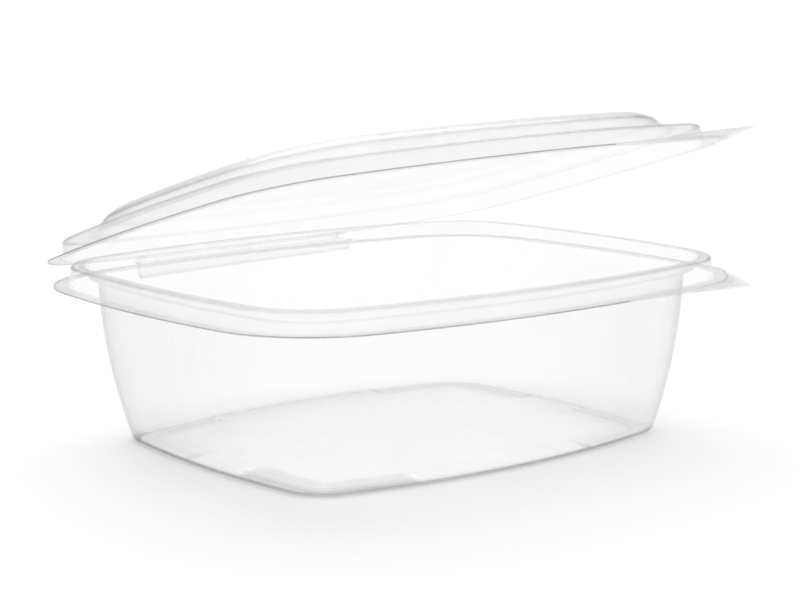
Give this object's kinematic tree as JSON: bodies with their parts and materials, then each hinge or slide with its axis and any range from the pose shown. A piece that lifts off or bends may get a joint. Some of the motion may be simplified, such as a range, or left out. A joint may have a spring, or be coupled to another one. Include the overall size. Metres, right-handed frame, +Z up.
{
  "type": "hinged takeaway container",
  "caption": "Clear thin-walled food container with a bowed rectangular tray, corner feet, rolled rim and a domed lid that folds on a strip hinge at the back.",
  "frame": {"origin": "middle of the tray on the ground, under the flat floor panel", "axes": "+Z up, +X along the hinge to the right seen from the opening side, +Y from the opening side to the hinge"},
  "size_m": [0.1896, 0.1643, 0.1007],
  "materials": {
    "tray_sheet": "clear thin formed plastic, glossy",
    "lid_sheet": "clear thin formed plastic, glossy"
  },
  "bodies": {
    "base": {"tray": "tray_sheet"},
    "cover": {"lid": "lid_sheet"}
  },
  "joints": [
    {"name": "lid_hinge", "type": "hinge", "parent": "base", "child": "cover", "pos_m": [0, 0.0834, 0.04935], "axis": [-0.9986, -0.0523, 0], "range_deg": [-15.6, 164.4]}
  ]
}
